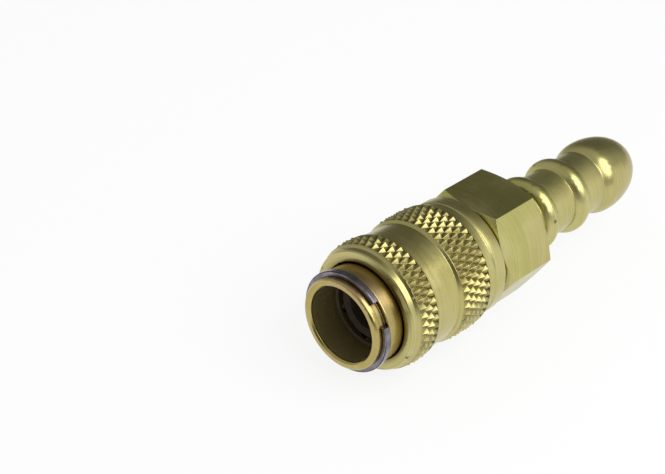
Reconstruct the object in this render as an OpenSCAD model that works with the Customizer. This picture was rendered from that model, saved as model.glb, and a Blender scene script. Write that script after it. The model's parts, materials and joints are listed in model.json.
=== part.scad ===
// Quick-release hose coupling, socket half with a hose nozzle.
// Millimetres. The long axis lies along X: the mouth faces -X, the hose end +X.
// The origin is under the middle of the length, on the surface that the part lies on.
// Places along the axis are counted from the mouth face, as stations.

/* [Body tube] */
// Bore that takes the plug
bore_d = 11.5; // [11:0.1:12.8]
// Wall between that bore and the surface that the sleeve slides on
tube_wall = 1.6; // [1.45:0.05:1.8]
// How far the lip at the mouth is below the tube's surface
lip_drop = 0.4; // [0.3:0.05:0.5]
// Length of the lip, up to the ring groove
lip_len = 1.05; // [0.9:0.05:1.2]

/* [Locking sleeve] */
// Sleeve wall, from the tube to the crests of the knurl
sleeve_wall = 2.5; // [2.3:0.05:3]
// How far the plain front collar is below the crests
collar_drop = 0.55; // [0.5:0.05:0.7]
// Diamonds around the knurl
knurl_count = 46; // [36:1:60]
// Half rows of diamonds in the front band
front_rows = 3; // [2:1:4]
// Half rows of diamonds in the rear band
rear_rows = 5; // [4:1:5]
// How far the sleeve runs forward when a plug locks
sleeve_travel = 2.3; // [2:0.1:2.3]

/* [Locking balls and valve] */
// Diameter of the six locking balls
ball_d = 2.8; // [2.6:0.05:2.9]
// How far the plug pushes the valve back
valve_travel = 5; // [4:0.5:5]

/* [Hose nozzle] */
// How far the hexagon's flats are above the tube
hex_step = 1.15; // [1.1:0.05:1.6]
// Length of the hexagon
hex_len = 10.05; // [9:0.05:12]
// Water way through the nozzle
hose_bore_d = 6.8; // [5:0.1:7.4]
// Necks between the beads, where the hose grips
neck_d = 10.1; // [9.1:0.1:11.3]
// How far the beads stand above the necks
bead_height = 1; // [0.8:0.05:1.2]
// How far the bulb stands above the necks
bulb_height = 0.85; // [0.7:0.05:1.1]

/* [Fits] */
// Radial clearance of the sleeve on the tube
sleeve_fit = 0.08; // [0.05:0.01:0.1]
// Radial clearance of the valve in its guide
valve_fit = 0.08; // [0.06:0.01:0.1]
// Clearance around each ball
ball_fit = 0.05; // [0.04:0.01:0.06]

/* [Hidden] */
$fn = 96;

// Body tube: the plug's bore steps down to the valve's guide
bore_step = 0.35;
groove_w = 1.15;
groove_depth = 0.24;
bore_r = bore_d / 2;
guide_r = bore_r - bore_step;
tube_r = bore_r + tube_wall;
lip_r = tube_r - lip_drop;
groove_r = lip_r - groove_depth;
chamber_r = guide_r + 0.75;

// Stations along the axis
groove_end = lip_len + groove_w;
sleeve_front = 4.7;
socket_end = 5.4;
knurl_1_start = 6.45;
ball_station = 7.2;
land_end = 11.3;
seat_station = 13;
knurl_2_start = 15.4;
sleeve_rear = 25.05;
sleeve_gap = 0.7;
hex_front = sleeve_rear + sleeve_gap;
hex_rear = hex_front + hex_len;

// Snap ring
ring_fit = 0.05;
ring_edge = 0.1;
ring_proud = 0.33;
ring_w = groove_w - 2 * ring_fit;
ring_in_r = groove_r + 0.02;
ring_out_r = tube_r + ring_proud;
ring_gap_angle = 29;
ring_gap_middle = 52;

// Locking balls: their centres when the socket is open
ball_count = 6;
ball_r = ball_d / 2;
ball_centre_r = guide_r + ball_r + 0.02;
ball_travel = ball_centre_r + ball_r - tube_r - 0.05;

// Springs
sleeve_spring_wire = 0.7;
sleeve_spring_r = tube_r + 0.28 + sleeve_spring_wire / 2;
valve_spring_wire = 0.6;
pocket_r = guide_r - 0.1;
valve_spring_r = pocket_r - 0.15 - valve_spring_wire / 2;

// Sleeve
knurl_depth = 0.5;
knurl_helix = 30;
knurl_r = tube_r + sleeve_wall;
root_r = knurl_r - knurl_depth;
chamfer_r = knurl_r - 0.26;
collar_r = knurl_r - collar_drop;
band_r = collar_r - 0.1;
rear_collar_r = collar_r - 0.15;
land_r = tube_r + sleeve_fit;
ball_groove_r = ball_centre_r + ball_r + 0.08;
spring_pocket_r = sleeve_spring_r + sleeve_spring_wire / 2 + 0.17;
ramp_angle = atan(ball_travel / sleeve_travel);
ramp_s = ball_station + (ball_r + ball_fit) * sin(ramp_angle);
ramp_r = ball_centre_r + (ball_r + ball_fit) * cos(ramp_angle);
knurl_step = PI * (knurl_r - knurl_depth / 2) / knurl_count / tan(knurl_helix);
knurl_1_end = knurl_1_start + front_rows * knurl_step;
knurl_2_end = knurl_2_start + rear_rows * knurl_step;

// Valve and its seal
piston_r = guide_r - valve_fit;
nose_r = piston_r - 0.55;
seal_out_r = nose_r - 0.25;
piston_hollow_r = seal_out_r - 0.9;
seal_in_r = piston_hollow_r - 0.3;
seal_len = 1.6;
seal_proud = 0.4;
head_r = guide_r + 0.25;
piston_front = 5.8;
hollow_end = 12.2;
head_rear = 15.6;
valve_ring_wire = 0.5;
valve_ring_r = piston_r - 0.17;
valve_ring_s = seat_station + 0.5;

// Spigot that screws into the body tube
spigot_r = chamber_r - 0.05;
spigot_front = head_rear + valve_travel + 0.1;
joint_ring_wire = 0.475;
joint_ring_r = chamber_r - joint_ring_wire;
joint_ring_s = hex_front - 0.95;
pocket_end = joint_ring_s - 0.9;

// Hose nozzle
across_flats = 2 * (tube_r + hex_step);
hose_r = hose_bore_d / 2;
neck_r = neck_d / 2;
bead_r = neck_r + bead_height;
bulb_r = neck_r + bulb_height;
bead_half = 1.6;
bead_pitch = 7.8;
bead_1_mid = hex_rear + 5.4;
bead_2_mid = bead_1_mid + bead_pitch;
bulb_shoulder = 2.7;
bulb_dome = 8.4;
bulb_start = bead_2_mid + 5.8;
bulb_end = acos((hose_r + 0.3) / bulb_r);
total_len = bulb_start + bulb_shoulder + bulb_dome * sin(bulb_end);

brass = [0.78, 0.74, 0.46];
steel = [0.55, 0.54, 0.56];
rubber = [0.09, 0.09, 0.09];

// Points of an arc in a [radius, station] profile
function arc(centre, r, from, to, steps) =
    [for (i = [0:steps]) centre + r * [cos(from + (to - from) * i / steps),
                                       sin(from + (to - from) * i / steps)]];

// Places a shape drawn along Z from the mouth face onto the part's axis
module on_axis() {
    translate([-total_len / 2, 0, knurl_r]) rotate([0, 90, 0]) children();
}

// Turned solid from a [radius, station] profile
module turned(profile) {
    rotate_extrude() polygon(profile);
}

// Straight cylinder between two stations
module rod(r, from, to) {
    translate([0, 0, from]) cylinder(r = r, h = to - from);
}

// Round ring of wire about the axis
module wire_ring(r, wire_r, station) {
    translate([0, 0, station]) rotate_extrude() translate([r, 0]) circle(r = wire_r, $fn = 40);
}

// Spring: a helix of wire between two stations
module coil(r, wire_d, from, to, turns) {
    steps = 20;
    sides = 8;
    rise = (to - from - wire_d) / turns;
    count = turns * steps;
    points = [for (i = [0:count]) for (j = [0:sides - 1])
        let (a = 360 * i / steps, b = 360 * j / sides, q = r + wire_d / 2 * cos(b))
        [q * cos(a), q * sin(a), from + wire_d / 2 + rise * i / steps + wire_d / 2 * sin(b)]];
    skin = [for (i = [0:count - 1]) for (j = [0:sides - 1])
        let (k = (j + 1) % sides)
        [i * sides + j, i * sides + k, (i + 1) * sides + k, (i + 1) * sides + j]];
    start_cap = [[for (j = [sides - 1:-1:0]) j]];
    end_cap = [[for (j = [0:sides - 1]) count * sides + j]];
    polyhedron(points, concat(skin, start_cap, end_cap), convexity = 8);
}

// Diamond knurl: rows of alternate crests and valley crossings, 30 degrees to the axis
module knurl_band(start, rows) {
    n = 2 * knurl_count;
    inner_r = root_r - 0.6;
    end_gap = 0.15;
    stations = concat([start - end_gap, start - end_gap],
                      [for (m = [0:rows]) start + m * knurl_step],
                      [start + rows * knurl_step + end_gap, start + rows * knurl_step + end_gap]);
    last = len(stations) - 1;
    function row_r(row, k) =
        row == 0 || row == last ? inner_r :
        row == 1 || row == last - 1 ? root_r - 0.1 :
        (row + k) % 2 == 0 ? root_r :
        row == 2 || row == last - 2 ? chamfer_r + 0.05 : knurl_r;
    points = [for (row = [0:last]) for (k = [0:n - 1])
        let (r = row_r(row, k), a = 360 * k / n) [r * cos(a), r * sin(a), stations[row]]];
    // Each cell is split along the valley between its two low corners
    skin = [for (row = [0:last - 1]) for (k = [0:n - 1])
        let (a = row * n + k, b = row * n + (k + 1) % n, c = b + n, d = a + n)
        each (row + k) % 2 == 0 ? [[a, c, b], [a, d, c]] : [[a, d, b], [b, d, c]]];
    inside = [for (k = [0:n - 1])
        let (a = k, b = (k + 1) % n, c = b + last * n, d = a + last * n)
        each [[b, c, a], [a, c, d]]];
    polyhedron(points, concat(skin, inside), convexity = 4);
}

module body_tube() {
    round_r = 0.5;
    mouth_chamfer = 0.3;
    color(brass) on_axis() difference() {
        turned(concat(
            [[bore_r, mouth_chamfer], [bore_r + mouth_chamfer, 0]],
            arc([lip_r - round_r, round_r], round_r, -90, 0, 8),
            [[lip_r, lip_len], [groove_r, lip_len], [groove_r, groove_end],
             [tube_r - 0.12, groove_end], [tube_r, groove_end + 0.12], [tube_r, hex_front],
             [chamber_r, hex_front], [chamber_r, seat_station + chamber_r - guide_r],
             [guide_r, seat_station], [guide_r, socket_end], [bore_r, socket_end]]));
        for (i = [0:ball_count - 1]) ball_hole(i);
    }
}

// Drilled from outside, with a tapered end that keeps the ball in
module ball_hole(i) {
    hole_r = ball_r + ball_fit;
    narrowing = 0.25;
    seat_r = ball_centre_r - ball_travel;
    translate([0, 0, ball_station]) rotate([0, 0, 360 * i / ball_count]) rotate([0, 90, 0]) {
        translate([0, 0, seat_r]) cylinder(r = hole_r, h = tube_r - seat_r + 1);
        translate([0, 0, guide_r - 0.5])
            cylinder(r1 = hole_r - narrowing, r2 = hole_r, h = seat_r - guide_r + 0.5);
    }
}

module snap_ring() {
    from = lip_len + ring_fit;
    color(steel) on_axis() difference() {
        turned([[ring_in_r, from], [ring_out_r - ring_edge, from], [ring_out_r, from + ring_edge],
                [ring_out_r, from + ring_w - ring_edge], [ring_out_r - ring_edge, from + ring_w],
                [ring_in_r, from + ring_w]]);
        rotate([0, 0, 180 + ring_gap_middle]) ring_gap(from);
    }
}

// Wedge between the two ends of the snap ring
module ring_gap(from) {
    reach = 2 * ring_out_r;
    half = ring_gap_angle / 2;
    translate([0, 0, from - 1]) linear_extrude(ring_w + 2)
        polygon([[0, 0], [reach * cos(half), -reach * sin(half)], [reach * cos(half), reach * sin(half)]]);
}

module locking_sleeve() {
    ramp_slope = tan(ramp_angle);
    groove_front = ball_station - ball_r;
    groove_top_s = ramp_s - (ball_groove_r - ramp_r) / ramp_slope;
    ramp_end = ramp_s + (ramp_r - land_r) / ramp_slope;
    color(brass) on_axis() {
        turned([
            [land_r, sleeve_front + 0.15], [land_r + 0.15, sleeve_front],
            [collar_r - 0.12, sleeve_front + 0.43], [collar_r, sleeve_front + 0.55],
            [collar_r, knurl_1_start - 0.25], [chamfer_r, knurl_1_start],
            [root_r - 0.02, knurl_1_start], [root_r - 0.02, knurl_1_end],
            [chamfer_r, knurl_1_end], [band_r, knurl_1_end + 0.4],
            [band_r, knurl_2_start - 0.5], [chamfer_r, knurl_2_start - 0.05],
            [root_r - 0.02, knurl_2_start - 0.05], [root_r - 0.02, knurl_2_end],
            [chamfer_r, knurl_2_end],
            [rear_collar_r, knurl_2_end + 0.55], [rear_collar_r - 0.2, sleeve_rear - 0.3],
            [rear_collar_r - 0.45, sleeve_rear], [spring_pocket_r, sleeve_rear],
            [spring_pocket_r, land_end], [land_r, land_end], [land_r, ramp_end],
            [ball_groove_r, groove_top_s], [ball_groove_r, groove_front], [land_r, groove_front]]);
        knurl_band(knurl_1_start, front_rows);
        knurl_band(knurl_2_start, rear_rows);
    }
}

module sleeve_spring() {
    color(steel) on_axis() coil(sleeve_spring_r, sleeve_spring_wire, land_end, hex_front, 6);
}

// One locking ball, in its outer place
module ball(i) {
    color(steel) on_axis() rotate([0, 0, 360 * i / ball_count])
        translate([ball_centre_r, 0, ball_station]) sphere(r = ball_r, $fn = 32);
}

module valve_piston() {
    nose_taper = 1.2;
    boss_len = 1.2;
    port_r = 1.3;
    port_station = 10.6;
    seal_end = piston_front + seal_len;
    seal_seat_r = seal_out_r + 0.02;
    ring_floor_r = valve_ring_r - valve_ring_wire;
    ring_half = valve_ring_wire + 0.05;
    boss_r = valve_spring_r - valve_spring_wire / 2 - 0.15;
    color(brass) on_axis() difference() {
        turned([
            [piston_hollow_r, seal_end], [seal_seat_r, seal_end], [seal_seat_r, piston_front],
            [nose_r, piston_front], [piston_r, piston_front + nose_taper],
            [piston_r, valve_ring_s - ring_half], [ring_floor_r, valve_ring_s - ring_half],
            [ring_floor_r, valve_ring_s + ring_half], [head_r, valve_ring_s + ring_half],
            [head_r, head_rear], [boss_r, head_rear], [boss_r - 0.3, head_rear + boss_len],
            [0, head_rear + boss_len], [0, hollow_end], [piston_hollow_r, hollow_end]]);
        for (a = [0:90:270]) translate([0, 0, port_station]) rotate([0, 0, a + 45]) rotate([0, 90, 0])
            cylinder(r = port_r, h = piston_r + 1);
    }
}

module plug_seal() {
    front = piston_front - seal_proud;
    rear = piston_front + seal_len;
    edge = 0.3;
    color(rubber) on_axis() turned([
        [seal_in_r, front + edge], [seal_in_r + edge, front], [seal_out_r - edge, front],
        [seal_out_r, front + edge], [seal_out_r, rear], [piston_hollow_r, rear],
        [seal_in_r, rear - edge]]);
}

module valve_ring() {
    color(rubber) on_axis() wire_ring(valve_ring_r, valve_ring_wire, valve_ring_s);
}

module valve_spring() {
    color(steel) on_axis() coil(valve_spring_r, valve_spring_wire, head_rear, pocket_end, 5);
}

module joint_ring() {
    color(rubber) on_axis() wire_ring(joint_ring_r, joint_ring_wire, joint_ring_s);
}

// Rounded bead standing on the neck
function bead(mid) =
    let (r = (bead_half * bead_half + bead_height * bead_height) / (2 * bead_height),
         a = asin(bead_half / r))
    arc([bead_r - r, mid], r, -a, a, 14);

// Bulb: a convex shoulder that meets a long dome at the widest place
function bulb() =
    let (h = bulb_height, w = bulb_shoulder, r = (w * w + h * h) / (2 * h),
         widest = bulb_start + w)
    concat(arc([bulb_r - r, widest], r, -asin(w / r), 0, 8),
           [for (i = [1:14]) let (a = bulb_end * i / 14) [bulb_r * cos(a), widest + bulb_dome * sin(a)]]);

module hose_nozzle() {
    hex_face_r = across_flats / 2 - 0.05;
    corner_r = across_flats / sqrt(3);
    chamfer_len = (corner_r - hex_face_r) * tan(30);
    ring_half = joint_ring_wire + 0.025;
    ring_floor_r = joint_ring_r - joint_ring_wire;
    color(brass) on_axis() difference() {
        union() {
            intersection() {
                rotate([0, 0, 30]) translate([0, 0, hex_front]) cylinder(r = corner_r, h = hex_len, $fn = 6);
                turned([[0, hex_front], [hex_face_r, hex_front], [corner_r, hex_front + chamfer_len],
                        [corner_r, hex_rear - chamfer_len], [hex_face_r, hex_rear], [0, hex_rear]]);
            }
            turned([[0, spigot_front], [spigot_r - 0.4, spigot_front], [spigot_r, spigot_front + 0.4],
                    [spigot_r, joint_ring_s - ring_half], [ring_floor_r, joint_ring_s - ring_half],
                    [ring_floor_r, joint_ring_s + ring_half], [spigot_r, joint_ring_s + ring_half],
                    [spigot_r, hex_front + 1], [0, hex_front + 1]]);
            turned(concat([[0, hex_rear - 1], [neck_r, hex_rear - 1]],
                          bead(bead_1_mid), bead(bead_2_mid), bulb(),
                          [[0, total_len]]));
        }
        rod(hose_r, spigot_front - 1, total_len + 1);
        rod(pocket_r, spigot_front - 1, pocket_end);
    }
}

body_tube();
snap_ring();
locking_sleeve();
sleeve_spring();
ball(0);  // ball_1
ball(1);  // ball_2
ball(2);  // ball_3
ball(3);  // ball_4
ball(4);  // ball_5
ball(5);  // ball_6
valve_piston();
plug_seal();
valve_ring();
valve_spring();
joint_ring();
hose_nozzle();
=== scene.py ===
import json
import math

import bpy
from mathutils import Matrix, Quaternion, Vector

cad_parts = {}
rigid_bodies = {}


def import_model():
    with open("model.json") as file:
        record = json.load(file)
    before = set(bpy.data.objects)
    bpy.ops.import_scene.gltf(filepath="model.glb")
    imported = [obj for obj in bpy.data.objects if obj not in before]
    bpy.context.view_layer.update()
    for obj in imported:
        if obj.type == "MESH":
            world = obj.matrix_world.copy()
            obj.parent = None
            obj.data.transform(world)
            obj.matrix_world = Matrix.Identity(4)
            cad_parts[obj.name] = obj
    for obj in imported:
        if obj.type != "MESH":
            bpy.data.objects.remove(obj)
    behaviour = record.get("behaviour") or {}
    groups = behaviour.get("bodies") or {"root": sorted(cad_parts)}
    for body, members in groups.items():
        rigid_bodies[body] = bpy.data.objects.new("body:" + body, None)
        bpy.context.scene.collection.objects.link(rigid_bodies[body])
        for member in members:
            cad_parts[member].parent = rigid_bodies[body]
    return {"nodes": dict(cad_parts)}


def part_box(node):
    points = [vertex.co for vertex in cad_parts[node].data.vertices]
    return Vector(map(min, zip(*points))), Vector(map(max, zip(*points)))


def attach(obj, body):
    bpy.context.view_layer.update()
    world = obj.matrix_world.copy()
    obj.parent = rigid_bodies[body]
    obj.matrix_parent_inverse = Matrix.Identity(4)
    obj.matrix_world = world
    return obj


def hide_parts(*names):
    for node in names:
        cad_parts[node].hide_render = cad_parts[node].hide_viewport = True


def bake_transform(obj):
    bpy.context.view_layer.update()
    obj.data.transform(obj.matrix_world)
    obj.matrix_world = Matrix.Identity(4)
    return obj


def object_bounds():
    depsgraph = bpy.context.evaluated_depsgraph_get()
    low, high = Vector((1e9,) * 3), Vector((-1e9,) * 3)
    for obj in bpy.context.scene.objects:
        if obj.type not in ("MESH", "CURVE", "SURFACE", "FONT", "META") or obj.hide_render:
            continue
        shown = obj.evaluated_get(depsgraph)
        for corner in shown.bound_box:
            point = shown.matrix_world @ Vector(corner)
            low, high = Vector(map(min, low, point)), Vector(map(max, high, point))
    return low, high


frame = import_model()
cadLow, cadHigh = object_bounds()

mm = 0.001
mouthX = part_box("body_tube")[0][0]
nozzleLow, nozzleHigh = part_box("hose_nozzle")
axisZ = (nozzleLow[2] + nozzleHigh[2]) / 2
partMiddle = Vector(((cadLow[0] + cadHigh[0]) / 2, 0, axisZ))
print("frame loaded, axis at", round(axisZ / mm, 3), "mm")


def station(s):  # x of a place counted from the mouth face, in millimetres
    return mouthX + s * mm


def around(azimuth, elevation, distance):  # a place seen from the middle of the part
    a, e = math.radians(azimuth), math.radians(elevation)
    way = Vector((math.sin(a) * math.cos(e), -math.cos(a) * math.cos(e), math.sin(e)))
    return partMiddle + way * distance


def deselect():
    bpy.ops.object.select_all(action="DESELECT")


def pick(piece):
    deselect()
    piece.select_set(True)
    bpy.context.view_layer.objects.active = piece


# Node helpers: a node's inputs are numbers or the sockets of other nodes
def add(tree, kind, inputs=None, **settings):
    made = tree.nodes.new(kind)
    for key, value in settings.items():
        setattr(made, key, value)
    for key, value in (inputs or {}).items():
        if isinstance(value, bpy.types.NodeSocket):
            tree.links.new(value, made.inputs[key])
        else:
            made.inputs[key].default_value = value
    return made


def maths(tree, operation, first, second=0.0, clamp=False):
    made = add(tree, "ShaderNodeMath", {0: first, 1: second}, operation=operation, use_clamp=clamp)
    return made.outputs[0]


def between(tree, value, low, high, toLow=0.0, toHigh=1.0):  # smooth step from low to high
    made = add(tree, "ShaderNodeMapRange", {"Value": value, "From Min": low, "From Max": high,
                                            "To Min": toLow, "To Max": toHigh},
               interpolation_type="SMOOTHSTEP")
    return made.outputs["Result"]


def vectorLength(tree, vector):
    return add(tree, "ShaderNodeVectorMath", {0: vector}, operation="LENGTH").outputs["Value"]


def dotProduct(tree, first, second):
    return add(tree, "ShaderNodeVectorMath", {0: first, 1: second}, operation="DOT_PRODUCT").outputs["Value"]


def mixed(tree, factor, first, second):
    made = add(tree, "ShaderNodeMix", data_type="RGBA")
    for socket, value in zip((made.inputs[0], made.inputs[6], made.inputs[7]), (factor, first, second)):
        if isinstance(value, bpy.types.NodeSocket):
            tree.links.new(value, socket)
        else:
            socket.default_value = value
    return made.outputs[2]


def colour(red, green, blue):  # from 0 to 255 as a picture shows them
    return tuple((c / 255 / 12.92) if c <= 10.3 else ((c / 255 + 0.055) / 1.055) ** 2.4
                 for c in (red, green, blue)) + (1.0,)


def newMaterial(name):
    material = bpy.data.materials.new(name)
    material.use_nodes = True
    material.node_tree.nodes.clear()
    return material, material.node_tree


def centredOnAxis(tree):  # Object coordinates with the axis of the part at their middle
    coords = add(tree, "ShaderNodeTexCoord").outputs["Object"]
    return add(tree, "ShaderNodeMapping", {"Vector": coords, "Location": (0, 0, -axisZ)}).outputs[0]


def noise(tree, vector, scale, detail, roughness=0.5):
    return add(tree, "ShaderNodeTexNoise", {"Vector": vector, "Scale": scale, "Detail": detail,
                                            "Roughness": roughness}).outputs["Fac"]


def surfaced(tree, base, metallic, roughness, height, depth, normal=None):
    bump = add(tree, "ShaderNodeBump", {"Height": height, "Distance": depth, "Strength": 1.0})
    if normal is not None:
        tree.links.new(normal, bump.inputs["Normal"])
    shader = add(tree, "ShaderNodeBsdfPrincipled", {"Base Color": base, "Metallic": metallic,
                                                    "Roughness": roughness, "Normal": bump.outputs[0]})
    add(tree, "ShaderNodeOutputMaterial", {"Surface": shader.outputs[0]})


def reflectionsOnly(piece):  # studio pieces that show in reflections and nowhere else
    for ray in ("camera", "diffuse", "transmission", "volume_scatter", "shadow"):
        setattr(piece, "visible_" + ray, False)


def lightPathShown(tree):  # 1 for what the camera sees, straight or in a reflection or through glass
    path = add(tree, "ShaderNodeLightPath")
    seen = maths(tree, "MAXIMUM", path.outputs["Is Camera Ray"], path.outputs["Is Glossy Ray"])
    return maths(tree, "MAXIMUM", seen, path.outputs["Is Transmission Ray"])


# Camera
cameraSetup = {
    "place": (-0.18191, -0.12422, 0.16474),
    "looksAt": (-0.01779, 0.01491, 0.01),
    "roll": 5.6,
    "lens": 97.44,
    "sensor": 36,
    "nearest": 0.01,
    "farthest": 20,
}
place, looksAt = Vector(cameraSetup["place"]), Vector(cameraSetup["looksAt"])
bpy.ops.object.camera_add(location=place)
camera = bpy.context.object
camera.name = "camera"
camera.rotation_mode = "QUATERNION"
camera.rotation_quaternion = ((looksAt - place).to_track_quat("-Z", "Y")
                              @ Quaternion((0, 0, 1), math.radians(cameraSetup["roll"])))
camera.data.sensor_width = cameraSetup["sensor"]
camera.data.lens = cameraSetup["lens"]
camera.data.clip_start, camera.data.clip_end = cameraSetup["nearest"], cameraSetup["farthest"]
bpy.context.scene.camera = camera
bpy.context.scene.view_settings.view_transform = "Standard"

# Floor and world
backdrop = {
    "floorSize": 4.0,
    "floorColour": (0.94, 0.94, 0.94, 1),
    "glow": 0.86,
    "worldShown": 1.0,
    "worldLight": 0.62,
}
bpy.ops.mesh.primitive_plane_add(size=backdrop["floorSize"], location=(0, 0, cadLow[2]))
floor = bpy.context.object
floor.name = "floor"
floorMaterial, tree = newMaterial("studio_floor")
diffuse = add(tree, "ShaderNodeBsdfDiffuse", {"Color": backdrop["floorColour"]})
glow = add(tree, "ShaderNodeEmission", {"Color": (1, 1, 1, 1), "Strength": 1.0})
share = maths(tree, "MULTIPLY", lightPathShown(tree), backdrop["glow"])
both = add(tree, "ShaderNodeMixShader", {0: share, 1: diffuse.outputs[0], 2: glow.outputs[0]})
add(tree, "ShaderNodeOutputMaterial", {"Surface": both.outputs[0]})
floor.data.materials.append(floorMaterial)

world = bpy.data.worlds.new("studio")
world.use_nodes = True
tree = world.node_tree
tree.nodes.clear()
strength = maths(tree, "MULTIPLY_ADD", lightPathShown(tree), backdrop["worldShown"] - backdrop["worldLight"])
strength.node.inputs[2].default_value = backdrop["worldLight"]
sky = add(tree, "ShaderNodeBackground", {"Color": (1, 1, 1, 1), "Strength": strength})
add(tree, "ShaderNodeOutputWorld", {"Surface": sky.outputs[0]})
bpy.context.scene.world = world

# Softbox above the near side
softbox = {"azimuth": 10, "elevation": 49, "distance": 0.26, "size": 0.26, "power": 0.42}
spot = around(softbox["azimuth"], softbox["elevation"], softbox["distance"])
bpy.ops.object.light_add(type="AREA", location=spot)
lamp = bpy.context.object
lamp.name = "softbox"
lamp.data.shape = "DISK"
lamp.data.size = softbox["size"]
lamp.data.energy = softbox["power"]
lamp.rotation_mode = "QUATERNION"
lamp.rotation_quaternion = (partMiddle - spot).to_track_quat("-Z", "Y")
lamp.visible_camera = False

# A tent that only reflections see: mid grey, dark behind the part and around the camera, bright at the right
tent = {
    "radius": 1.6,
    "cloth": (0.5, 0.5, 0.48, 1),
    "places": [
        {"azimuth": 42, "elevation": 2, "inner": 10, "outer": 32, "shade": (1.0, 1.0, 0.98, 1)},
        {"azimuth": 127, "elevation": 24, "inner": 14, "outer": 54, "shade": (0.16, 0.16, 0.145, 1)},
        {"azimuth": -58, "elevation": 22, "inner": 10, "outer": 34, "shade": (0.12, 0.12, 0.11, 1)},
    ],
}
deselect()
bpy.ops.mesh.primitive_uv_sphere_add(segments=48, ring_count=24, radius=tent["radius"], location=partMiddle)
dome = bpy.context.object
dome.name = "tent"
material, tree = newMaterial("tent_cloth")
way = add(tree, "ShaderNodeVectorMath", {0: add(tree, "ShaderNodeTexCoord").outputs["Object"]},
          operation="NORMALIZE").outputs[0]
shade = tent["cloth"]
for spot in tent["places"]:
    towards = (around(spot["azimuth"], spot["elevation"], 1) - partMiddle).to_tuple()
    facing = dotProduct(tree, way, towards)
    outer, inner = math.cos(math.radians(spot["outer"])), math.cos(math.radians(spot["inner"]))
    inside = between(tree, facing, outer, inner)
    shade = mixed(tree, inside, shade, spot["shade"])
cloth = add(tree, "ShaderNodeEmission", {"Color": shade, "Strength": 1.0})
add(tree, "ShaderNodeOutputMaterial", {"Surface": cloth.outputs[0]})
dome.data.materials.append(material)
reflectionsOnly(dome)

# The floor's far side falls off into the dark, in reflections only
shadeCard = {"azimuth": 142, "distance": 0.5, "radius": 0.52, "core": 0.5, "lift": 0.2 * mm,
             "shade": (0.16, 0.16, 0.14, 1)}
aside = around(shadeCard["azimuth"], 0, shadeCard["distance"])
deselect()
bpy.ops.mesh.primitive_circle_add(vertices=48, radius=shadeCard["radius"], fill_type="NGON",
                                  location=(aside.x, aside.y, cadLow[2] + shadeCard["lift"]))
card = bpy.context.object
card.name = "floor_shade"
material, tree = newMaterial("floor_shade")
out = vectorLength(tree, add(tree, "ShaderNodeTexCoord").outputs["Object"])
share = between(tree, out, shadeCard["radius"], shadeCard["radius"] * shadeCard["core"])
clear = add(tree, "ShaderNodeBsdfTransparent", {"Color": (1, 1, 1, 1)})
dark = add(tree, "ShaderNodeEmission", {"Color": shadeCard["shade"], "Strength": 1.0})
both = add(tree, "ShaderNodeMixShader", {0: share, 1: clear.outputs[0], 2: dark.outputs[0]})
add(tree, "ShaderNodeOutputMaterial", {"Surface": both.outputs[0]})
card.data.materials.append(material)
reflectionsOnly(card)
print("camera, floor, lamp and tent made")


bandFade = 0.25  # millimetres over which a band of diamonds ends


def knurlBands(tree, x, bands):  # 1 inside the bands of diamonds
    inside = 0.0
    for start, end in bands:
        here = maths(tree, "MULTIPLY", between(tree, x, station(start - bandFade), station(start)),
                     between(tree, x, station(end + bandFade), station(end)))
        inside = here if inside == 0.0 else maths(tree, "MAXIMUM", inside, here)
    return inside


# Brass: turned lines, tone patches, worn edges, painted shade in inner corners and specks. This is what all
# brass shares:
# a range runs from no effect to full effect, and a gain gives the result at its two ends
turned = {
    "slowness": 60.0, "ringRoughness": 0.6, "ringDetail": 2.5,
    "ringRange": (0.3, 0.7), "ringGain": (0.9, 1.04),
    "grainScale": 2600.0, "grainDetail": 3.0, "grainRange": (0.3, 0.6), "grainGain": (0.35, 1.0),
    "patchDetail": 4.0, "patchRoughness": 0.55, "patchRange": (0.38, 0.66), "patchGloss": (0.3, 0.7),
    "driftShare": 0.37, "driftDetail": 2.0, "driftRange": (0.5, 0.7), "driftGain": (0.0, 0.8),
    "pitScale": 560.0, "pitFade": 0.02, "pitRange": (0.28, 0.1), "pitAmount": 0.75,
    "pitColour": colour(64, 52, 30),
    "edgeReach": 0.12 * mm, "edgeAmount": 0.55, "edgeRange": (0.995, 0.9), "edgeGloss": 0.06,
    "ringHeight": 0.7, "grainHeight": 0.3, "cornerShadeClear": 0.6,
}


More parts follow.
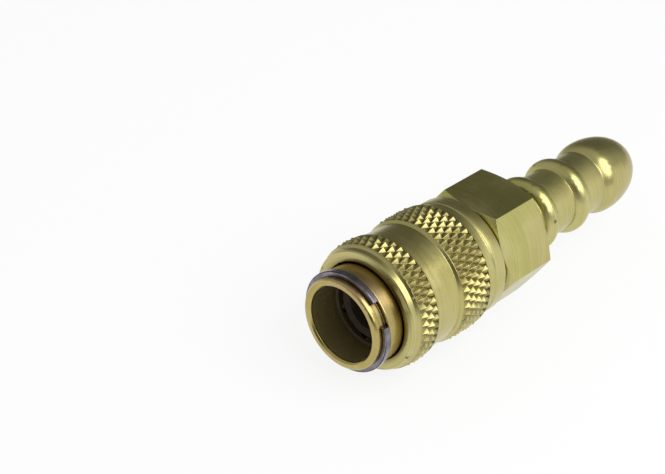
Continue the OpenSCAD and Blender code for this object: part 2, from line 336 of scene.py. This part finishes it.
def brass(name, base, tones, toneScale, lines, lineDepth, roughness, roughSpread, edgeColour, specks, corner,
          crest=None, shadow=None):
    material, tree = newMaterial(name)
    centred = centredOnAxis(tree)
    x, y, z = add(tree, "ShaderNodeSeparateXYZ", {0: centred}).outputs
    flat = add(tree, "ShaderNodeCombineXYZ", {"Y": y, "Z": z})
    radius = vectorLength(tree, flat.outputs[0])

    # Fine rings left by the tool: close along the axis and the radius, slow around it
    along = maths(tree, "MULTIPLY", maths(tree, "ADD", x, radius), lines)
    ringPlace = add(tree, "ShaderNodeCombineXYZ", {
        "X": along, "Y": maths(tree, "MULTIPLY", y, turned["slowness"]),
        "Z": maths(tree, "MULTIPLY", z, turned["slowness"])})
    rings = noise(tree, ringPlace.outputs[0], 1.0, turned["ringDetail"], turned["ringRoughness"])
    grain = noise(tree, centred, turned["grainScale"], turned["grainDetail"])
    patches = noise(tree, centred, toneScale, turned["patchDetail"], turned["patchRoughness"])
    drift = noise(tree, centred, toneScale * turned["driftShare"], turned["driftDetail"])

    tone = mixed(tree, between(tree, patches, *turned["patchRange"]), tones[0], base)
    tone = mixed(tree, between(tree, drift, *turned["driftRange"], *turned["driftGain"]), tone, tones[1])
    ringShade = between(tree, rings, *turned["ringRange"], *turned["ringGain"])
    shaded = add(tree, "ShaderNodeVectorMath", {0: tone, 3: ringShade}, operation="SCALE").outputs[0]

    # Small dark pits
    dots = add(tree, "ShaderNodeTexVoronoi", {"Vector": centred, "Scale": turned["pitScale"]})
    chance = add(tree, "ShaderNodeSeparateColor", {0: dots.outputs["Color"]}).outputs[0]
    few = between(tree, chance, 1.0 - specks, 1.0 - specks + turned["pitFade"])
    dot = maths(tree, "MULTIPLY", between(tree, dots.outputs["Distance"], *turned["pitRange"]), few)
    shaded = mixed(tree, maths(tree, "MULTIPLY", dot, turned["pitAmount"]), shaded, turned["pitColour"])

    # Edges rub bright and smooth
    bevel = add(tree, "ShaderNodeBevel", {"Radius": turned["edgeReach"]}, samples=6).outputs[0]
    trueNormal = add(tree, "ShaderNodeNewGeometry").outputs["Normal"]
    rub = maths(tree, "MULTIPLY", between(tree, dotProduct(tree, bevel, trueNormal), *turned["edgeRange"]),
                between(tree, grain, *turned["grainRange"], *turned["grainGain"]))
    worn = maths(tree, "MULTIPLY", rub, turned["edgeAmount"])

    # Painted shade: ambient occlusion darkens inner corners
    cornerShade = add(tree, "ShaderNodeAmbientOcclusion", {"Distance": corner["reach"]}, samples=8).outputs["AO"]
    cornerShade = between(tree, cornerShade, corner["from"], corner["to"], corner["amount"], 0.0)
    if crest:  # diamonds: darker towards the foot, rubbed at the top, less painted corner shade, as they shade each other
        band = knurlBands(tree, x, crest["bands"])
        plain = maths(tree, "SUBTRACT", 1.0, band)
        # Darker towards the foot of the diamonds
        foot = maths(tree, "MULTIPLY", between(tree, radius, crest["pitHigh"], crest["pitLow"]), band)
        shaded = mixed(tree, maths(tree, "MULTIPLY", foot, crest["footDark"]), shaded, crest["footColour"])
        top = maths(tree, "MULTIPLY", between(tree, radius, crest["low"], crest["high"]), crest["wear"])
        worn = maths(tree, "MAXIMUM", maths(tree, "MULTIPLY", worn, plain), top)
        lessCornerShade = maths(tree, "SUBTRACT", 1.0, maths(tree, "MULTIPLY", band, turned["cornerShadeClear"]))
        cornerShade = maths(tree, "MULTIPLY", cornerShade, lessCornerShade)
    shaded = mixed(tree, worn, shaded, edgeColour)
    shaded = mixed(tree, cornerShade, shaded, corner["colour"])
    metal = 1.0
    if shadow:  # painted shade where no light reaches: darker and less metallic
        deep = between(tree, radius, shadow["litRadius"], shadow["darkRadius"])
        deep = maths(tree, "MULTIPLY", deep, between(tree, x, shadow["from"], shadow["to"]))
        deep = maths(tree, "MULTIPLY", deep, shadow["amount"])
        shaded = mixed(tree, deep, shaded, shadow["colour"])
        metal = maths(tree, "SUBTRACT", 1.0, deep)

    rough = between(tree, patches, *turned["patchGloss"], roughness - roughSpread, roughness + roughSpread)
    rough = maths(tree, "SUBTRACT", rough, maths(tree, "MULTIPLY", worn, turned["edgeGloss"]), clamp=True)
    height = maths(tree, "ADD", maths(tree, "MULTIPLY", rings, turned["ringHeight"]),
                   maths(tree, "MULTIPLY", grain, turned["grainHeight"]))
    surfaced(tree, shaded, metal, rough, maths(tree, "SUBTRACT", height, dot), lineDepth, bevel)
    return material


knurlRadius = (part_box("locking_sleeve")[1][2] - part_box("locking_sleeve")[0][2]) / 2
# Each brass's corner setting paints shade into inner corners; the sleeve's long reach paints shade over its
# front face next to the tube
sleeveBrass = brass(
    "sleeve_brass", base=colour(198, 190, 130), tones=(colour(190, 180, 116), colour(197, 184, 130)),
    toneScale=190.0, lines=5200.0, lineDepth=0.006 * mm, roughness=0.27, roughSpread=0.05,
    edgeColour=colour(226, 216, 150), specks=0.03,
    corner={"reach": 2.6 * mm, "from": 0.4, "to": 0.93, "amount": 0.85, "colour": colour(88, 76, 38)},
    crest={"low": knurlRadius - 0.14 * mm, "high": knurlRadius - 0.02 * mm, "wear": 0.75,
           "pitHigh": knurlRadius - 0.2 * mm, "pitLow": knurlRadius - 0.46 * mm, "footDark": 0.6,
           "footColour": colour(128, 116, 66), "bands": ((6.45, 9.65), (15.4, 20.75))})
# Painted shade inside the bore past the mouth: darker, browner and less metallic
boreShade = {"litRadius": 5.82 * mm, "darkRadius": 5.7 * mm, "from": station(0.35), "to": station(0.8),
              "amount": 0.96, "colour": colour(68, 59, 38)}
tubeBrass = brass(
    "tube_brass", base=colour(190, 177, 116), tones=(colour(178, 162, 96), colour(188, 162, 118)),
    toneScale=240.0, lines=6000.0, lineDepth=0.006 * mm, roughness=0.24, roughSpread=0.04,
    edgeColour=colour(218, 202, 142), specks=0.02, shadow=boreShade,
    corner={"reach": 2.4 * mm, "from": 0.3, "to": 0.95, "amount": 0.85, "colour": colour(120, 90, 50)})
# Painted shade: the piston sits in the dark inside the tube, so its brass is a darker copy with further
# painted shade over it
pistonShade = {"litRadius": 9 * mm, "darkRadius": 7 * mm, "from": station(-2), "to": station(-1), "amount": 0.8,
                "colour": colour(90, 79, 52)}
pistonBrass = brass(
    "piston_brass", base=colour(150, 134, 84), tones=(colour(130, 112, 66), colour(140, 118, 80)),
    toneScale=240.0, lines=6000.0, lineDepth=0.006 * mm, roughness=0.34, roughSpread=0.05,
    edgeColour=colour(150, 134, 88), specks=0.02, shadow=pistonShade,
    corner={"reach": 2 * mm, "from": 0.3, "to": 0.9, "amount": 0.8, "colour": colour(70, 56, 34)})
nozzleBrass = brass(
    "nozzle_brass", base=colour(200, 193, 132), tones=(colour(186, 180, 112), colour(190, 180, 122)),
    toneScale=150.0, lines=3800.0, lineDepth=0.008 * mm, roughness=0.28, roughSpread=0.06,
    edgeColour=colour(222, 214, 150), specks=0.035,
    corner={"reach": 1.2 * mm, "from": 0.3, "to": 0.9, "amount": 0.7, "colour": colour(112, 96, 50)})
print("brass made")


drawn = {
    "slowness": 0.06, "detail": 3.0, "cloudScale": 700.0, "toneRange": (0.35, 0.65),
    "glossRange": (0.3, 0.7), "glossSpread": 0.05, "edgeReach": 0.08 * mm,
}


def steel(name, base, dark, roughness, lines, lineDepth):
    material, tree = newMaterial(name)
    centred = centredOnAxis(tree)
    slow = lines * drawn["slowness"]
    stretched = add(tree, "ShaderNodeMapping", {"Vector": centred, "Scale": (lines, slow, slow)}).outputs[0]
    streaks = noise(tree, stretched, 1.0, drawn["detail"])
    cloud = noise(tree, centred, drawn["cloudScale"], drawn["detail"])
    tone = mixed(tree, between(tree, cloud, *drawn["toneRange"]), dark, base)
    spread = drawn["glossSpread"]
    rough = between(tree, cloud, *drawn["glossRange"], roughness + spread, roughness - spread)
    bevel = add(tree, "ShaderNodeBevel", {"Radius": drawn["edgeReach"]}, samples=6).outputs[0]
    surfaced(tree, tone, 1.0, rough, streaks, lineDepth, bevel)
    return material


ringSteel = steel("ring_steel", base=colour(140, 135, 141), dark=colour(112, 106, 112), roughness=0.2,
                  lines=9000.0, lineDepth=0.004 * mm)
springSteel = steel("spring_steel", base=colour(165, 166, 170), dark=colour(130, 130, 134), roughness=0.26,
                    lines=5000.0, lineDepth=0.003 * mm)
# Painted shade: the balls sit in the dark inside the bore, so their steel is painted darker
ballSteel = steel("ball_steel", base=colour(112, 104, 88), dark=colour(92, 84, 68), roughness=0.42,
                  lines=900.0, lineDepth=0.001 * mm)

moulded = {
    "base": colour(60, 52, 38), "worn": colour(72, 63, 46), "roughness": (0.8, 0.95),
    "dustScale": 900.0, "dustDetail": 4.0, "toneRange": (0.45, 0.75), "glossRange": (0.3, 0.7),
    "grainScale": 6000.0, "grainDetail": 2.0, "grainDepth": 0.01 * mm,
}
sealRubber, tree = newMaterial("seal_rubber")
centred = centredOnAxis(tree)
dust = noise(tree, centred, moulded["dustScale"], moulded["dustDetail"])
grain = noise(tree, centred, moulded["grainScale"], moulded["grainDetail"])
tone = mixed(tree, between(tree, dust, *moulded["toneRange"]), moulded["base"], moulded["worn"])
rough = between(tree, dust, *moulded["glossRange"], *moulded["roughness"])
surfaced(tree, tone, 0.0, rough, grain, moulded["grainDepth"])
print("steel and rubber made")

finishes = {
    "body_tube": tubeBrass, "locking_sleeve": sleeveBrass, "hose_nozzle": nozzleBrass,
    "valve_piston": pistonBrass, "snap_ring": ringSteel, "sleeve_spring": springSteel,
    "valve_spring": springSteel, "plug_seal": sealRubber, "valve_ring": sealRubber,
    "joint_ring": sealRubber,
}
for name, piece in frame["nodes"].items():
    finish = finishes.get(name, ballSteel)
    if not piece.material_slots:
        piece.data.materials.append(finish)
    for holder in piece.material_slots:
        holder.material = finish
print("finishes given to", len(frame["nodes"]), "nodes")


# The turned pieces again with their edges and inner corners rounded, each on its own body
rounded = {"weld": 0.001 * mm, "flat": 0.05, "smooth": 32, "sameSurface": 0.004 * mm}  # angles in degrees


def softened(node, name, body, slot, reach, segments, sharper, reshape=None, cuts=()):
    source = frame["nodes"][node]
    pick(source)
    bpy.ops.object.duplicate()
    made = bpy.context.object
    made.name = made.data.name = name
    bpy.ops.object.parent_clear(type="CLEAR_KEEP_TRANSFORM")
    bpy.ops.object.transform_apply(location=True, rotation=True, scale=True)
    bpy.ops.object.mode_set(mode="EDIT")
    bpy.ops.mesh.select_all(action="SELECT")
    bpy.ops.mesh.remove_doubles(threshold=rounded["weld"])
    bpy.ops.mesh.dissolve_limited(angle_limit=math.radians(rounded["flat"]))
    for cut in cuts:
        bpy.ops.mesh.select_all(action="SELECT")
        bpy.ops.mesh.bisect(plane_co=(station(cut), 0, 0), plane_no=(1, 0, 0), threshold=rounded["weld"])
    bpy.ops.mesh.select_all(action="DESELECT")
    bpy.ops.object.mode_set(mode="OBJECT")
    if reshape:
        for point in made.data.vertices:
            y, z = point.co.y, point.co.z - axisZ
            radius = math.hypot(y, z)
            s, wanted = reshape((point.co.x - mouthX) / mm, radius / mm)
            share = wanted * mm / radius if radius > 0 else 1.0
            point.co = (station(s), y * share, z * share + axisZ)
    rounding = made.modifiers.new("rounding", "BEVEL")
    rounding.width = reach
    rounding.segments = segments
    rounding.limit_method = "ANGLE"
    rounding.angle_limit = math.radians(sharper)
    bpy.ops.object.modifier_apply(modifier=rounding.name)
    bpy.ops.object.shade_smooth_by_angle(angle=math.radians(rounded["smooth"]))
    # Where the surface stayed in place it takes the solid's own exact normals
    kept = made.modifiers.new("normals", "DATA_TRANSFER")
    kept.object = source
    kept.use_loop_data = True
    kept.data_types_loops = {"CUSTOM_NORMAL"}
    kept.loop_mapping = "POLYINTERP_NEAREST"
    kept.use_max_distance = True
    kept.max_distance = rounded["sameSurface"]
    bpy.ops.object.modifier_apply(modifier=kept.name)
    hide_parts(node)
    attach(made, body)
    print(name, len(made.data.polygons), "faces")


# Zones of the sleeve's solid, along the axis and out from it, and where their points go, in millimetres:
# a square front face, a lower front collar, a relief step and a longer tail. The first zone that fits
# counts, 99 means no end, and grown widens the radius as far as most
sleeveZones = [
    {"along": (0, 4.8), "out": (0, 8), "s": 4.95},
    {"along": (4.8, 5), "out": (0, 8), "s": 5.1},
    {"along": (0, 5.2), "out": (9, 99), "s": 4.97, "r": 9.0},
    {"along": (0, 5.4), "out": (9.2, 99), "s": 5.2, "r": 9.15},
    {"along": (5.4, 6.3), "out": (9.2, 99), "s": 6.05, "r": 9.15},
    {"along": (21.2, 23.05), "out": (8.9, 99), "r": 9.05},
    {"along": (23.05, 24), "out": (8.9, 99), "r": 9.15},
    {"along": (24, 24.9), "out": (8.8, 99), "s": 25.12, "r": 9.15},
    {"along": (24, 99), "out": (8, 99), "s": 25.38, "grown": 0.1, "most": 8.95},
]


def sleeveShape(s, r):
    for zone in sleeveZones:
        if zone["along"][0] <= s < zone["along"][1] and zone["out"][0] <= r < zone["out"][1]:
            moved = min(r + zone["grown"], zone["most"]) if "grown" in zone else zone.get("r", r)
            return zone.get("s", s), moved
    return s, r


bulb = {"start": 54.8, "widest": 57.5, "neck": 5.05, "rise": 0.85, "fullness": 2.7}


def nozzleShape(s, r):  # a fuller shoulder on the bulb
    if bulb["start"] < s < bulb["widest"] and r > bulb["neck"]:
        left = (bulb["widest"] - s) / (bulb["widest"] - bulb["start"])
        return s, bulb["neck"] + bulb["rise"] * (1 - left ** bulb["fullness"])
    return s, r


softPieces = [
    {"node": "hose_nozzle", "name": "nozzle_body", "body": "housing", "slot": "brass", "reach": 0.28 * mm,
     "segments": 4, "sharper": 22, "reshape": nozzleShape},
    {"node": "snap_ring", "name": "snap_ring_wire", "body": "housing", "slot": "ring_steel",
     "reach": 0.22 * mm, "segments": 3, "sharper": 30},
    {"node": "body_tube", "name": "tube_body", "body": "housing", "slot": "brass", "reach": 0.16 * mm,
     "segments": 3, "sharper": 24},
    {"node": "locking_sleeve", "name": "sleeve_body", "body": "sleeve", "slot": "brass", "reach": 0.06 * mm,
     "segments": 2, "sharper": 24, "reshape": sleeveShape, "cuts": (23.0, 23.12)},
]
for item in softPieces:
    softened(**item)
print("edges rounded")


# Springs: a wire section swept by a screw and closed at both ends, spanning the box of the spring node
wound = {"sides": 14, "stepsPerTurn": 40, "smooth": 40}


def spring(name, radius, wire, fromX, toX, turns):
    deselect()
    bpy.ops.mesh.primitive_circle_add(vertices=wound["sides"], radius=wire / 2,
                                      rotation=(math.radians(90), 0, 0))
    made = bpy.context.object
    made.name = made.data.name = name
    bpy.ops.object.transform_apply(location=True, rotation=True, scale=True)
    bpy.ops.object.mode_set(mode="EDIT")
    bpy.ops.mesh.select_all(action="SELECT")
    bpy.ops.transform.translate(value=(0, 0, radius))
    bpy.ops.object.mode_set(mode="OBJECT")
    winding = made.modifiers.new("wind", "SCREW")
    winding.axis = "X"
    winding.angle = math.tau * turns
    winding.screw_offset = toX - fromX - wire
    winding.steps = winding.render_steps = wound["stepsPerTurn"] * turns
    winding.iterations = 1
    winding.use_merge_vertices = False
    pick(made)
    bpy.ops.object.modifier_apply(modifier=winding.name)
    made.location = (fromX + wire / 2, 0, axisZ)
    bpy.ops.object.transform_apply(location=True, rotation=True, scale=True)
    bpy.ops.object.mode_set(mode="EDIT")
    bpy.ops.mesh.select_all(action="DESELECT")
    bpy.ops.mesh.select_non_manifold()
    bpy.ops.mesh.edge_face_add()
    bpy.ops.mesh.select_all(action="SELECT")
    bpy.ops.mesh.normals_make_consistent(inside=False)
    bpy.ops.mesh.select_all(action="DESELECT")
    bpy.ops.object.mode_set(mode="OBJECT")
    bpy.ops.object.shade_smooth_by_angle(angle=math.radians(wound["smooth"]))
    made.data.materials.append(springSteel)
    return made


springs = [
    {"name": "sleeve_spring_wire", "node": "sleeve_spring", "wire": 0.7 * mm, "turns": 6,
     "bodies": ("housing", "sleeve_carrier")},
    {"name": "valve_spring_wire", "node": "valve_spring", "wire": 0.6 * mm, "turns": 5,
     "bodies": ("housing", "valve")},
]
for item in springs:
    low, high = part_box(item["node"])
    radius = (high[2] - low[2] - item["wire"]) / 2
    coil = spring(item["name"], radius, item["wire"], low[0], high[0], item["turns"])
    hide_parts(item["node"])
    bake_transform(coil)
print("springs wound")
